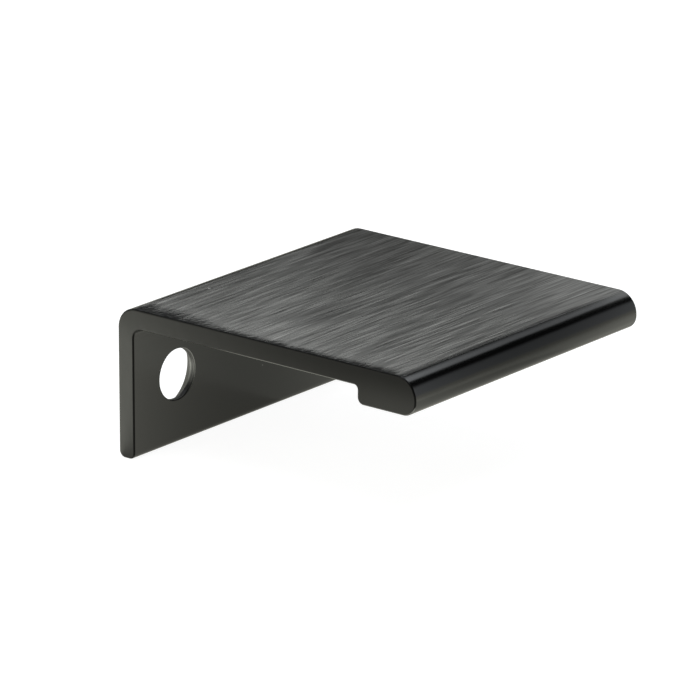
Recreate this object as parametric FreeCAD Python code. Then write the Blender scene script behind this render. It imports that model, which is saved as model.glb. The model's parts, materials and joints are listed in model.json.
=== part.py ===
"""Tab pull: one length of extruded aluminium that wraps over the top edge of a drawer front or door.

A flat leg is screwed to the back of the front, the plate runs forward over the front's edge, and
the thick rounded nose hangs down in front, where the fingers hook behind it.

Frame, in millimetres: X runs along the extrusion, -Y is forward, towards the nose, and +Z is up.
The origin is midway between the two screw holes, on the leg's front face, which seats on the front.
"""
import FreeCAD, Part
import math
import os

Vector = FreeCAD.Vector

# Overall sizes
LENGTH = 40.0
DEPTH = 42.0
HEIGHT = 17.7

# Section
PLATE_THICKNESS = 2.25
LEG_THICKNESS = 2.25
NOSE_HEIGHT = 4.35
NOSE_LENGTH = 8.0

# Rounded corners of the section
BACK_CORNER_RADIUS = 2.5
NOSE_TOP_RADIUS = 2.5
NOSE_LOWER_RADIUS = 1.75
NOSE_HEEL_RADIUS = 0.8
STEP_FILLET_RADIUS = 0.5
INNER_CORNER_RADIUS = 1.25
LEG_END_RADIUS = 0.8

# Deburred edges round both sawn ends
END_EDGE_RADIUS = 0.22

# Screw holes, straight at the seat and countersunk from the back
HOLE_DIAMETER = 5.95
HOLE_SPACING = 25.0
HOLE_BELOW_TOP = 9.5
HOLE_LAND = 0.7
HOLE_EDGE_BREAK = 0.12
COUNTERSINK_ANGLE = 82.0

# Places that follow from the sizes
seat = 0.0
back = seat + LEG_THICKNESS
nose_tip = back - DEPTH
nose_heel = nose_tip + NOSE_LENGTH
top = HOLE_BELOW_TOP
plate_underside = top - PLATE_THICKNESS
nose_bottom = top - NOSE_HEIGHT
leg_bottom = top - HEIGHT
near_end = -LENGTH / 2
hole_radius = HOLE_DIAMETER / 2

# How far a cutter runs past the face it opens through
CUT_MARGIN = 1.0


def corner_reach(before, corner, after, radius):
    """Distance from a corner to where an arc of this radius meets its two sides."""
    turn = (before - corner).getAngle(after - corner)
    return radius / math.tan(turn / 2)


def rounded_outline(corners):
    """Closed wire through (y, z, radius) corners, each rounded as far as its sides leave room."""
    points = [Vector(near_end, y, z) for y, z, radius in corners]
    count = len(points)
    reaches = []
    for i, (y, z, radius) in enumerate(corners):
        reaches.append(corner_reach(points[i - 1], points[i], points[(i + 1) % count], radius))
    side_room = []
    for i in range(count):
        side = points[i].distanceToPoint(points[(i + 1) % count])
        side_room.append(min(1.0, side / (reaches[i] + reaches[(i + 1) % count])))
    arcs = []
    for i, point in enumerate(points):
        reach = reaches[i] * min(side_room[i - 1], side_room[i])
        inward = (points[i - 1] - point).normalize()
        outward = (points[(i + 1) % count] - point).normalize()
        start = point + inward * reach
        end = point + outward * reach
        half_turn = inward.getAngle(outward) / 2
        radius = reach * math.tan(half_turn)
        bisector = (inward + outward).normalize()
        middle = point + bisector * (radius / math.sin(half_turn) - radius)
        arcs.append((start, middle, end))
    edges = []
    for i, (start, middle, end) in enumerate(arcs):
        next_start = arcs[(i + 1) % count][0]
        edges.append(Part.Arc(start, middle, end).toShape())
        if end.distanceToPoint(next_start) > Part.Precision.confusion():
            edges.append(Part.LineSegment(end, next_start).toShape())
    return Part.Wire(edges)


def extruded_section():
    """The whole section, swept along X and with its end edges rounded."""
    outline = rounded_outline([
        (back, top, BACK_CORNER_RADIUS),
        (nose_tip, top, NOSE_TOP_RADIUS),
        (nose_tip, nose_bottom, NOSE_LOWER_RADIUS),
        (nose_heel, nose_bottom, NOSE_HEEL_RADIUS),
        (nose_heel, plate_underside, STEP_FILLET_RADIUS),
        (seat, plate_underside, INNER_CORNER_RADIUS),
        (seat, leg_bottom, LEG_END_RADIUS),
        (back, leg_bottom, LEG_END_RADIUS),
    ])
    bar = Part.Face(outline).extrude(Vector(LENGTH, 0, 0))
    end_edges = [edge for edge in bar.Edges if edge.BoundBox.XLength < Part.Precision.confusion()]
    return bar.makeFillet(END_EDGE_RADIUS, end_edges)


def screw_hole(x):
    """Cutter for one hole: a broken front rim, a straight land, then a cone that opens to the back."""
    through = LEG_THICKNESS + 2 * CUT_MARGIN
    land = Part.makeCylinder(hole_radius, through, Vector(x, seat - CUT_MARGIN, 0), Vector(0, 1, 0))
    rim_depth = HOLE_EDGE_BREAK + CUT_MARGIN
    rim = Part.makeCone(
        hole_radius + rim_depth, hole_radius, rim_depth, Vector(x, seat - CUT_MARGIN, 0), Vector(0, 1, 0)
    )
    cone_depth = LEG_THICKNESS - HOLE_LAND + CUT_MARGIN
    cone_radius = hole_radius + cone_depth * math.tan(math.radians(COUNTERSINK_ANGLE / 2))
    cone = Part.makeCone(
        hole_radius, cone_radius, cone_depth, Vector(x, seat + HOLE_LAND, 0), Vector(0, 1, 0)
    )
    return land.multiFuse([rim, cone])


def tab_pull():
    """The finished pull: the extruded section with both screw holes cut through its leg."""
    pull = extruded_section()
    for side in (-1, 1):
        pull = pull.cut(screw_hole(side * HOLE_SPACING / 2))
    return pull.removeSplitter()


os.makedirs("parts", exist_ok=True)
tab_pull().exportStep("parts/tab_pull.step")
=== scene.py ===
"""Looks of the tab pull: black anodised aluminium with a brushed top, standing on a white studio floor."""
import bpy
import json
import math
from mathutils import Matrix, Vector


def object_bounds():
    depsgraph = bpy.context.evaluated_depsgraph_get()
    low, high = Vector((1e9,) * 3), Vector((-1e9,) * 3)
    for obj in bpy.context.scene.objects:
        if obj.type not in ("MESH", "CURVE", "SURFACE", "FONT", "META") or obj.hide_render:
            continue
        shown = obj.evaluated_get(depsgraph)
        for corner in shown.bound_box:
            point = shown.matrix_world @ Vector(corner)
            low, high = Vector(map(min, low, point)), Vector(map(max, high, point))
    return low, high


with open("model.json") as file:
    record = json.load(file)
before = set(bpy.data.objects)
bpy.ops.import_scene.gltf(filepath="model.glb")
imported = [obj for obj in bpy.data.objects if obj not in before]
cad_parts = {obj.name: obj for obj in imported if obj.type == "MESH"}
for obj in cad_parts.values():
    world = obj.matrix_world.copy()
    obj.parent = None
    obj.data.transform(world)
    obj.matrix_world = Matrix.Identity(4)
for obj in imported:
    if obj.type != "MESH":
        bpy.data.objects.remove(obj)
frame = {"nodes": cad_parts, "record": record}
cad_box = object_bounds()
low, high = cad_box

MM = 0.001

# Camera, fitted to the photograph: angles in degrees, distances in millimetres
CAMERA_AZIMUTH = -51.19
CAMERA_ELEVATION = 18.04
CAMERA_ROLL = 0.11
CAMERA_DISTANCE = 657.2
CAMERA_LENS = 304.3
CAMERA_SENSOR = 36.0
AIM_RIGHT = -3.17
AIM_UP = -5.66

# Places on the pull, in millimetres
NEAR_END = low.x / MM
TOP = high.z / MM
screw_holes = frame["record"]["mounts"][0]["dims"]
HOLE_SPACING = screw_holes["spacing_x_mm"]
HOLE_RADIUS = screw_holes["hole_r_mm"]
HOLE_LAND = 0.7

# Grain of a noise that is to change slowly along an axis, in millimetres
WIDE = 50.0

# How far over the long edges the brushing reaches, in degrees of tilt
BRUSH_REACH = 13.0
BRUSH_REACH_PER_MM = 0.1
BRUSH_WANDER = 2.0
BRUSH_WANDER_GRAIN = (6.0, WIDE, WIDE)
BRUSH_SOFTNESS = 0.8

# The margin that rolls off at the near end, in millimetres
ROLL_WIDTH = 2.0
ROLL_WANDER = 2.5
ROLL_WANDER_GRAIN = (WIDE, 3.0, WIDE)
ROLL_MOTTLE = 0.8
ROLL_MOTTLE_GRAIN = (0.8, 0.5, WIDE)

# Values that change along X or Y, as (from place, to place, first value, last value)
ROLL_EXTRA_WIDTH = (-16.0, -4.0, 0.0, 3.6)
ROLL_SLOPE = (-16.0, -4.0, -0.1, -0.14)
STREAK_ROUGHNESS = (-10.0, 10.0, -1.5, 0.0)
STREAK_STRENGTH = (-20.0, 12.0, 0.7, 1.9)
# Painted light on the sawn ends: their tone near the top and lower down
END_UPPER_PAINTED_LIGHT_TONE = (-38.0, 2.0, 0.02, 0.03)
END_LOWER_PAINTED_LIGHT_TONE = (-28.0, -36.0, 0.042, 0.05)
# Painted highlight on the lower rounded edges of the ends, stronger towards the front
LOWER_EDGE_PAINTED_HIGHLIGHT = (-9.0, -17.0, 0.03, 0.16)

# Rows of streaks, as (length, width), and how much lighter or darker each kind makes the face
FINE_ROWS = (9.0, 0.13)
MEDIUM_ROWS = (18.0, 0.24)
HAIR_ROWS = (18.0, 0.16)
HAIR_LIMITS = (0.08, 0.14)
FINE_TONE = 0.15
MEDIUM_TONE = 0.04
HAIR_TONE = -0.025

# How far apart in the noise two rows can start
ROW_SPREAD = 500.0

# Relief of the faces, as (grain sizes, detail, height)
BRUSHED_RELIEF = [
    ((40.0, 0.4, WIDE), 1.0, 0.008),
    ((100.0, 1.0, WIDE), 1.0, 0.012),
]
SMOOTH_RELIEF = [
    ((0.12, 0.12, 0.12), 2.0, 0.0015),
    ((7.0, 1.5, 1.5), 1.0, 0.02),
]

# Rings in the holes, in millimetres
RING_PITCH = 0.35
RING_HEIGHT = 0.009

# Where an area starts and where it is complete, by the direction the surface faces or by a distance
END_LIMITS = (0.15, 0.5)
EDGE_LIMITS = (0.2, 0.35)
EDGE_LEAN_LIMITS = (-0.2, -0.4)
HOLE_FACING_LIMITS = (0.95, 0.85)
HOLE_REACH_LIMITS = (HOLE_RADIUS + 1.7, HOLE_RADIUS + 1.5)
HOLE_LAND_LIMITS = (HOLE_LAND + 0.05, HOLE_LAND - 0.05)
HOLE_EDGE_HIGHLIGHT_LIMITS = (0.18, 0.08)
HOLE_RIM_HIGHLIGHT_LIMITS = (0.1, 0.05)

# How far below the top the ends have their lower tone, which is painted light
END_PAINTED_LIGHT_DEPTH = 4.5

# Dust: how far apart its specks are scattered, and their edge as a share of that
DUST_SPACING = 5.0
DUST_LIMITS = (0.035, 0.02)

# Roughness of each area
SMOOTH_ROUGHNESS = 0.2
BRUSHED_ROUGHNESS = 0.28
END_ROUGHNESS = 0.4
HOLE_ROUGHNESS = 0.42
DUST_ROUGHNESS = 0.8

# Tone of each area, as the share of light that it reflects head-on
SMOOTH_TONE = 0.027
BRUSHED_TONE = 0.044
DARKEST_STREAK_TONE = 0.004
# Painted shade: a dark line along the front rounded edges of the ends
FRONT_EDGE_PAINTED_SHADE = 0.01
HOLE_CONE_TONE = 0.018
HOLE_LAND_TONE = 0.06
# Painted highlights in the holes: a lighter line at the edge between cone and land, and a lighter rim
HOLE_EDGE_PAINTED_HIGHLIGHT = 0.13
HOLE_RIM_PAINTED_HIGHLIGHT = 0.2
DUST_TONE = 0.6

# Grey that dims the reflections at grazing angles
GRAZING_TINT = (0.72, 0.72, 0.72, 1)

# Painted light: the finish is lighter by this share at this distance from the middle, standing in for
# brighter light towards both ends
PAINTED_LIGHT_SHARE = 0.8
PAINTED_LIGHT_DISTANCE = 17.0


class Graph:
    """Short ways to add nodes to one node tree. A value is a plain number or another node's output."""

    def __init__(self, tree):
        self.tree = tree
        tree.nodes.clear()

    def add(self, kind, **settings):
        node = self.tree.nodes.new(kind)
        for name, value in settings.items():
            setattr(node, name, value)
        return node

    def feed(self, target, value):
        if isinstance(value, bpy.types.NodeSocket):
            self.tree.links.new(value, target)
        else:
            target.default_value = value

    def math(self, operation, *values):
        node = self.add("ShaderNodeMath", operation=operation)
        for place, value in zip(node.inputs, values):
            self.feed(place, value)
        return node.outputs["Value"]

    def total(self, *values):
        result = values[0]
        for value in values[1:]:
            result = self.math("ADD", result, value)
        return result

    def product(self, *values):
        result = values[0]
        for value in values[1:]:
            result = self.math("MULTIPLY", result, value)
        return result

    def difference(self, first, second):
        return self.math("SUBTRACT", first, second)

    def size(self, value):
        return self.math("ABSOLUTE", value)

    def rise(self, value, start, end, first=0.0, last=1.0):
        """Goes smoothly from first to last as the value goes from start to end."""
        node = self.add("ShaderNodeMapRange", interpolation_type="SMOOTHSTEP")
        names = ("Value", "From Min", "From Max", "To Min", "To Max")
        for name, given in zip(names, (value, start, end, first, last)):
            self.feed(node.inputs[name], given)
        return node.outputs["Result"]

    def split(self, vector):
        node = self.add("ShaderNodeSeparateXYZ")
        self.feed(node.inputs["Vector"], vector)
        return node.outputs

    def stretched(self, vector, sizes):
        """The place in units of a grain that measures these sizes."""
        node = self.add("ShaderNodeVectorMath", operation="DIVIDE")
        self.feed(node.inputs[0], vector)
        node.inputs[1].default_value = sizes
        return node.outputs["Vector"]

    def noise(self, vector, sizes, detail=2.0):
        """Noise with a mean of about zero, in grains of these sizes."""
        node = self.add("ShaderNodeTexNoise")
        self.feed(node.inputs["Vector"], self.stretched(vector, sizes))
        node.inputs["Scale"].default_value = 1.0
        node.inputs["Detail"].default_value = detail
        return self.difference(node.outputs["Fac"], 0.5)

    def relief(self, vector, grains):
        """Sum of noises, each given as its grain sizes, detail and height."""
        return self.total(*[self.product(self.noise(vector, sizes, detail), height)
                            for sizes, detail, height in grains])

    def rows(self, along, across, length, width):
        """Straight rows of this width. Along each row runs a noise of its own, in grains of this length."""
        row = self.math("FLOOR", self.math("DIVIDE", across, width))
        start = self.add("ShaderNodeTexWhiteNoise", noise_dimensions="1D")
        self.feed(start.inputs["W"], row)
        node = self.add("ShaderNodeTexNoise", noise_dimensions="1D")
        step = self.math("DIVIDE", along, length)
        self.feed(node.inputs["W"], self.total(step, self.product(start.outputs["Value"], ROW_SPREAD)))
        node.inputs["Scale"].default_value = 1.0
        node.inputs["Detail"].default_value = 1.0
        return self.difference(node.outputs["Fac"], 0.5)

    def mix(self, share, first, second):
        """A number that goes from first to second as the share goes from 0 to 1."""
        node = self.add("ShaderNodeMix", data_type="FLOAT")
        self.feed(node.inputs[0], share)
        self.feed(node.inputs[2], first)
        self.feed(node.inputs[3], second)
        return node.outputs[0]

    def mix_colour(self, share, first, second):
        node = self.add("ShaderNodeMix", data_type="RGBA")
        self.feed(node.inputs[0], share)
        self.feed(node.inputs[6], first)
        self.feed(node.inputs[7], second)
        return node.outputs[2]


class AnodisedFinish:
    """Height, roughness and tone of the finish at each place. An area is a share from 0 to 1."""

    def __init__(self, graph):
        self.graph = graph
        texture = graph.add("ShaderNodeTexCoord")
        scale = graph.add("ShaderNodeVectorMath", operation="SCALE")
        graph.feed(scale.inputs[0], texture.outputs["Object"])
        scale.inputs["Scale"].default_value = 1 / MM
        self.place = scale.outputs["Vector"]
        self.x, self.y, self.z = graph.split(self.place)
        self.normal_x, self.normal_y, self.normal_z = graph.split(texture.outputs["Normal"])
        self.brushed = self.brushed_area()
        self.roll_width, self.roll = self.near_end_roll()
        self.streaks = self.streak_pattern()
        self.end = graph.rise(graph.size(self.normal_x), *END_LIMITS)
        self.hole = self.hole_area()
        self.dust = self.dust_area()

    def brushed_area(self):
        """The top and a little way over its long edges, as far as the belt reached."""
        graph = self.graph
        tilt = graph.math("DEGREES", graph.math("ARCCOSINE", self.normal_z))
        wander = graph.product(graph.noise(self.place, BRUSH_WANDER_GRAIN), BRUSH_WANDER)
        reach = graph.total(BRUSH_REACH, graph.product(self.x, BRUSH_REACH_PER_MM), wander)
        return graph.rise(graph.difference(tilt, reach), BRUSH_SOFTNESS, -BRUSH_SOFTNESS)

    def near_end_roll(self):
        """Width of the margin at the near end, and how far into it a place lies, from 0 to 1 at the end."""
        graph = self.graph
        wander = graph.product(graph.noise(self.place, ROLL_WANDER_GRAIN), ROLL_WANDER)
        mottle = graph.product(graph.noise(self.place, ROLL_MOTTLE_GRAIN), ROLL_MOTTLE)
        width = graph.total(ROLL_WIDTH, wander, mottle, graph.rise(self.y, *ROLL_EXTRA_WIDTH))
        from_near_end = graph.difference(self.x, NEAR_END)
        roll = graph.difference(1.0, graph.math("DIVIDE", from_near_end, width))
        return width, graph.math("MAXIMUM", roll, 0.0)

    def streak_pattern(self):
        """Lighter and darker streaks of the brushing, which run out in the margin."""
        graph = self.graph
        fine = graph.rows(self.x, self.y, *FINE_ROWS)
        medium = graph.rows(self.x, self.y, *MEDIUM_ROWS)
        hairs = graph.rise(graph.rows(self.x, self.y, *HAIR_ROWS), *HAIR_LIMITS)
        streaks = graph.total(graph.product(fine, FINE_TONE), graph.product(medium, MEDIUM_TONE),
                              graph.product(hairs, HAIR_TONE))
        return graph.product(streaks, graph.difference(1.0, self.roll))

    def edge_area(self, lean):
        """The rounded edge of an end, where the surface leans this way. The front edges take painted shade
        and the lower edges a painted highlight.
        """
        graph = self.graph
        return graph.product(graph.rise(graph.size(self.normal_x), *EDGE_LIMITS),
                             graph.rise(lean, *EDGE_LEAN_LIMITS))

    def hole_area(self):
        """The walls of both screw holes."""
        graph = self.graph
        across = graph.difference(graph.size(self.x), HOLE_SPACING / 2)
        from_axis = graph.math("SQRT", graph.total(graph.product(across, across),
                                                   graph.product(self.z, self.z)))
        return graph.product(graph.rise(from_axis, *HOLE_REACH_LIMITS),
                             graph.rise(graph.size(self.normal_y), *HOLE_FACING_LIMITS))

    def dust_area(self):
        """A few specks, where a scattered point comes close to the surface."""
        graph = self.graph
        specks = graph.add("ShaderNodeTexVoronoi")
        spacing = (DUST_SPACING, DUST_SPACING, DUST_SPACING)
        graph.feed(specks.inputs["Vector"], graph.stretched(self.place, spacing))
        specks.inputs["Scale"].default_value = 1.0
        return graph.rise(specks.outputs["Distance"], *DUST_LIMITS)

    def height(self):
        """Relief in millimetres: brushed ripples, the roll at the near end, a fine grain and rings."""
        graph = self.graph
        roll_drop = graph.product(self.roll, self.roll, self.roll, self.roll_width,
                                  graph.rise(self.y, *ROLL_SLOPE))
        ripples = graph.product(graph.relief(self.place, BRUSHED_RELIEF), graph.difference(1.0, self.roll))
        ring_turn = graph.product(self.y, 2 * math.pi / RING_PITCH)
        rings = graph.product(graph.math("SINE", ring_turn), RING_HEIGHT)
        height = graph.mix(self.brushed, graph.relief(self.place, SMOOTH_RELIEF),
                           graph.total(ripples, roll_drop))
        return graph.mix(self.hole, height, rings)

    def roughness(self):
        """Lighter streaks are shinier too, less so towards the far end."""
        graph = self.graph
        change = graph.product(self.streaks, graph.rise(self.x, *STREAK_ROUGHNESS))
        roughness = graph.mix(self.brushed, SMOOTH_ROUGHNESS, graph.total(BRUSHED_ROUGHNESS, change))
        roughness = graph.mix(self.end, roughness, END_ROUGHNESS)
        roughness = graph.mix(self.hole, roughness, HOLE_ROUGHNESS)
        return graph.mix(self.dust, roughness, DUST_ROUGHNESS)

    def end_tone_with_painted_light(self):
        """Tone of the sawn ends, which changes from top to bottom and from back to front: painted light,
        standing in for the uneven light on the ends.
        """
        graph = self.graph
        return graph.rise(self.z, TOP, TOP - END_PAINTED_LIGHT_DEPTH, graph.rise(self.y, *END_UPPER_PAINTED_LIGHT_TONE),
                          graph.rise(self.y, *END_LOWER_PAINTED_LIGHT_TONE))

    def hole_tone(self):
        """Tone of a hole's wall: cone and land, with a painted highlight on the edge between them and
        another on the rim.
        """
        graph = self.graph
        from_edge = graph.size(graph.difference(self.y, HOLE_LAND))
        tone = graph.mix(graph.rise(self.y, *HOLE_LAND_LIMITS), HOLE_CONE_TONE, HOLE_LAND_TONE)
        # Painted highlights on the edge between cone and land and on the rim
        tone = graph.mix(graph.rise(from_edge, *HOLE_EDGE_HIGHLIGHT_LIMITS), tone, HOLE_EDGE_PAINTED_HIGHLIGHT)
        return graph.mix(graph.rise(self.y, *HOLE_RIM_HIGHLIGHT_LIMITS), tone, HOLE_RIM_PAINTED_HIGHLIGHT)

    def tone(self):
        """Painted light makes the finish a little lighter towards both ends, and its streaks are stronger
        at the far one.
        """
        graph = self.graph
        from_middle = graph.math("DIVIDE", self.x, PAINTED_LIGHT_DISTANCE)
        # Painted light: a factor that makes the tone lighter towards both ends
        lighter = graph.total(1.0, graph.product(from_middle, from_middle, PAINTED_LIGHT_SHARE))
        streaks = graph.product(self.streaks, graph.rise(self.x, *STREAK_STRENGTH))
        brushed_tone = graph.total(graph.product(lighter, BRUSHED_TONE), streaks)
        brushed_tone = graph.math("MAXIMUM", brushed_tone, DARKEST_STREAK_TONE)
        tone = graph.mix(self.brushed, graph.product(lighter, SMOOTH_TONE), brushed_tone)
        # The sawn ends, with painted light on them
        tone = graph.mix(self.end, tone, self.end_tone_with_painted_light())
        # Painted shade along the front rounded edges of the ends
        tone = graph.mix(self.edge_area(self.normal_y), tone, FRONT_EDGE_PAINTED_SHADE)
        # Painted highlight on the lower rounded edges of the ends
        tone = graph.mix(self.edge_area(self.normal_z), tone, graph.rise(self.y, *LOWER_EDGE_PAINTED_HIGHLIGHT))
        tone = graph.mix(self.hole, tone, self.hole_tone())
        return graph.mix(self.dust, tone, DUST_TONE)


def black_anodised_aluminium():
    """Brushed on top, satin on the drawn faces, matter on the sawn ends and ringed in the holes."""
    material = bpy.data.materials.new("black_anodised_aluminium")
    material.use_nodes = True
    graph = Graph(material.node_tree)
    finish = AnodisedFinish(graph)
    bump = graph.add("ShaderNodeBump")
    bump.inputs["Strength"].default_value = 1.0
    bump.inputs["Distance"].default_value = MM
    graph.feed(bump.inputs["Height"], finish.height())
    shader = graph.add("ShaderNodeBsdfPrincipled")
    shader.inputs["Metallic"].default_value = 1.0
    shader.inputs["Specular Tint"].default_value = GRAZING_TINT
    graph.feed(shader.inputs["Base Color"], finish.tone())
    graph.feed(shader.inputs["Roughness"], finish.roughness())
    graph.feed(shader.inputs["Normal"], bump.outputs["Normal"])
    output = graph.add("ShaderNodeOutputMaterial")
    graph.feed(output.inputs["Surface"], shader.outputs["BSDF"])
    return material


# Floor: its half width in metres, the grey that takes shadows, its own glow and its glow in reflections
FLOOR_HALF_WIDTH = 4.0
FLOOR_GREY = (0.4, 0.4, 0.4, 1)
FLOOR_ROUGHNESS = 0.9
FLOOR_GLOW = 0.93
FLOOR_REFLECTED_COLOUR = (1.0, 1.0, 0.88, 1)
FLOOR_REFLECTED_GLOW = 1.0
WHITE = (1, 1, 1, 1)


def white_floor_paint():
    """White with a faint shadow where the camera sees it, and a little warm in reflections."""
    material = bpy.data.materials.new("white_floor_paint")
    material.use_nodes = True
    graph = Graph(material.node_tree)
    seen = graph.add("ShaderNodeBsdfPrincipled")
    seen.inputs["Base Color"].default_value = FLOOR_GREY
    seen.inputs["Roughness"].default_value = FLOOR_ROUGHNESS
    seen.inputs["Specular IOR Level"].default_value = 0.0
    seen.inputs["Emission Color"].default_value = WHITE
    seen.inputs["Emission Strength"].default_value = FLOOR_GLOW
    reflected = graph.add("ShaderNodeEmission")
    reflected.inputs["Color"].default_value = FLOOR_REFLECTED_COLOUR
    reflected.inputs["Strength"].default_value = FLOOR_REFLECTED_GLOW
    path = graph.add("ShaderNodeLightPath")
    choose = graph.add("ShaderNodeMixShader")
    graph.feed(choose.inputs[0], path.outputs["Is Camera Ray"])
    graph.feed(choose.inputs[1], reflected.outputs["Emission"])
    graph.feed(choose.inputs[2], seen.outputs["BSDF"])
    output = graph.add("ShaderNodeOutputMaterial")
    graph.feed(output.inputs["Surface"], choose.outputs["Shader"])
    return material


def rectangle_mesh(name, half_width, half_height, level=0.0):
    """A flat rectangle about the origin, in metres."""
    mesh = bpy.data.meshes.new(name)
    corners = [(-half_width, -half_height, level), (half_width, -half_height, level),
               (half_width, half_height, level), (-half_width, half_height, level)]
    mesh.from_pydata(corners, [], [(0, 1, 2, 3)])
    return mesh


def add_floor():
    """A wide floor under the leg's lower edge."""
    mesh = rectangle_mesh("floor", FLOOR_HALF_WIDTH, FLOOR_HALF_WIDTH, low.z)
    mesh.materials.append(white_floor_paint())
    floor = bpy.data.objects.new("floor", mesh)
    bpy.context.scene.collection.objects.link(floor)


# Colours of the light
COOL = (0.96, 1.0, 1.03)
NEUTRAL = (0.98, 1.0, 0.97)
WARM = (0.99, 1.0, 0.89)

# Studio walls, as (middle azimuth, middle elevation, half width, half height, softness, radiance, colour)
STUDIO_WALLS = [
    (50, 5, 50, 18, 8, 0.1, WARM),
    (8.25, 46.5, 13.75, 7, 3, 2.5, COOL),
    (-52, 5, 24, 21, 6, 0.75, COOL),
    (160, 5, 40, 25, 8, 1.4, WARM),
    (0, 90, 400, 28, 6, 1.6, COOL),
]
ROOM_RADIANCE = 0.025


def light_colour(colour, radiance):
    """The colour of a light at this radiance."""
    return tuple(part * radiance for part in colour) + (1,)


def add_studio():
    """A dim room with soft white walls and a ceiling light. The camera itself sees plain white.

    Angles are in degrees, and azimuth is from +X towards +Y.
    """
    world = bpy.data.worlds.new("studio")
    world.use_nodes = True
    bpy.context.scene.world = world
    graph = Graph(world.node_tree)
    texture = graph.add("ShaderNodeTexCoord")
    east, north, up = graph.split(texture.outputs["Generated"])
    azimuth = graph.math("DEGREES", graph.math("ARCTAN2", north, east))
    elevation = graph.math("DEGREES", graph.math("ARCSINE", up))
    glow = light_colour(COOL, ROOM_RADIANCE)
    for middle, level, half_width, half_height, softness, radiance, colour in STUDIO_WALLS:
        turn = graph.size(graph.math("WRAP", graph.difference(azimuth, middle), 180.0, -180.0))
        climb = graph.size(graph.difference(elevation, level))
        wall = graph.product(graph.rise(turn, half_width + softness, half_width),
                             graph.rise(climb, half_height + softness, half_height))
        glow = graph.mix_colour(wall, glow, light_colour(colour, radiance))
    light = graph.add("ShaderNodeBackground")
    graph.feed(light.inputs["Color"], glow)
    seen = graph.add("ShaderNodeBackground")
    seen.inputs["Color"].default_value = WHITE
    path = graph.add("ShaderNodeLightPath")
    choose = graph.add("ShaderNodeMixShader")
    graph.feed(choose.inputs[0], path.outputs["Is Camera Ray"])
    graph.feed(choose.inputs[1], light.outputs["Background"])
    graph.feed(choose.inputs[2], seen.outputs["Background"])
    output = graph.add("ShaderNodeOutputWorld")
    graph.feed(output.inputs["Surface"], choose.outputs["Shader"])


# Cards near the pull, as (name, place, turn, lean, size, radiance, colour)
FLAT = 0
UPRIGHT = 90
BACK_TURN = -51
FLOOR_CARD_LEVEL = 0.2
CARDS = [
    ("back_left_card", (43.1, 71.2, 56.2), BACK_TURN, UPRIGHT, (53.5, 18), 2.8, NEUTRAL),
    ("back_middle_card", (62.6, 47.1, 53.6), BACK_TURN, UPRIGHT, (8.5, 23.2), 2.35, NEUTRAL),
    ("back_right_card", (86.4, 17.8, 55.9), BACK_TURN, UPRIGHT, (68, 18.6), 2.5, NEUTRAL),
    ("right_card", (50, -24, 35.2), 90, UPRIGHT, (40, 14.5), 1.8, NEUTRAL),
    ("leg_floor_card", (-44.9, 43.9, FLOOR_CARD_LEVEL), 145, FLAT, (90, 40), 3.7, WARM),
    ("front_left_floor_card", (-7, -67, FLOOR_CARD_LEVEL), 0, FLAT, (66, 54), 1.22, WARM),
    ("front_right_floor_card", (63, -67, FLOOR_CARD_LEVEL), 0, FLAT, (74, 54), 1.75, WARM),
    ("under_floor_card", (28, -13, FLOOR_CARD_LEVEL), 0, FLAT, (44, 26), 1.3, WARM),
]


def card_paint(name, radiance, colour):
    """An even glow."""
    material = bpy.data.materials.new(name)
    material.use_nodes = True
    graph = Graph(material.node_tree)
    glow = graph.add("ShaderNodeEmission")
    glow.inputs["Color"].default_value = colour + (1,)
    glow.inputs["Strength"].default_value = radiance
    output = graph.add("ShaderNodeOutputMaterial")
    graph.feed(output.inputs["Surface"], glow.outputs["Emission"])
    return material


def add_card(name, place, turn, lean, size, radiance, colour):
    """A card near the pull, which shows only in its reflections.

    Its middle is at x, y and a level above the floor, in millimetres. Its width runs along the
    azimuth turn, and it lies flat or stands upright by its lean. Both angles are in degrees.
    """
    x, y, level = place
    half_width, half_height = (side / 2 * MM for side in size)
    mesh = rectangle_mesh(name, half_width, half_height)
    mesh.materials.append(card_paint(name, radiance, colour))
    card = bpy.data.objects.new(name, mesh)
    card.location = (x * MM, y * MM, low.z + level * MM)
    card.rotation_euler = (math.radians(lean), 0, math.radians(turn))
    card.visible_camera = False
    card.visible_diffuse = False
    card.visible_shadow = False
    bpy.context.scene.collection.objects.link(card)


def add_camera():
    """The photograph's camera, aimed a little beside the middle of the top face."""
    azimuth = math.radians(CAMERA_AZIMUTH)
    elevation = math.radians(CAMERA_ELEVATION)
    roll = math.radians(CAMERA_ROLL)
    back = Vector((math.sin(azimuth) * math.cos(elevation), -math.cos(azimuth) * math.cos(elevation),
                   math.sin(elevation)))
    level_right = Vector((math.cos(azimuth), math.sin(azimuth), 0))
    level_up = back.cross(level_right)
    right = level_right * math.cos(roll) + level_up * math.sin(roll)
    up = level_up * math.cos(roll) - level_right * math.sin(roll)
    aim = Vector(((low.x + high.x) / 2, (low.y + high.y) / 2, high.z))
    camera = bpy.data.objects.new("camera", bpy.data.cameras.new("camera"))
    camera.data.lens = CAMERA_LENS
    camera.data.sensor_width = CAMERA_SENSOR
    place = aim + (right * AIM_RIGHT + up * AIM_UP + back * CAMERA_DISTANCE) * MM
    camera.matrix_world = Matrix.Translation(place) @ Matrix((right, up, back)).transposed().to_4x4()
    bpy.context.scene.collection.objects.link(camera)
    bpy.context.scene.camera = camera


pull = frame["nodes"]["tab_pull"]
pull.data.materials.clear()
pull.data.materials.append(black_anodised_aluminium())

add_floor()
add_studio()
for card_values in CARDS:
    add_card(*card_values)
add_camera()
bpy.context.scene.view_settings.view_transform = "Standard"
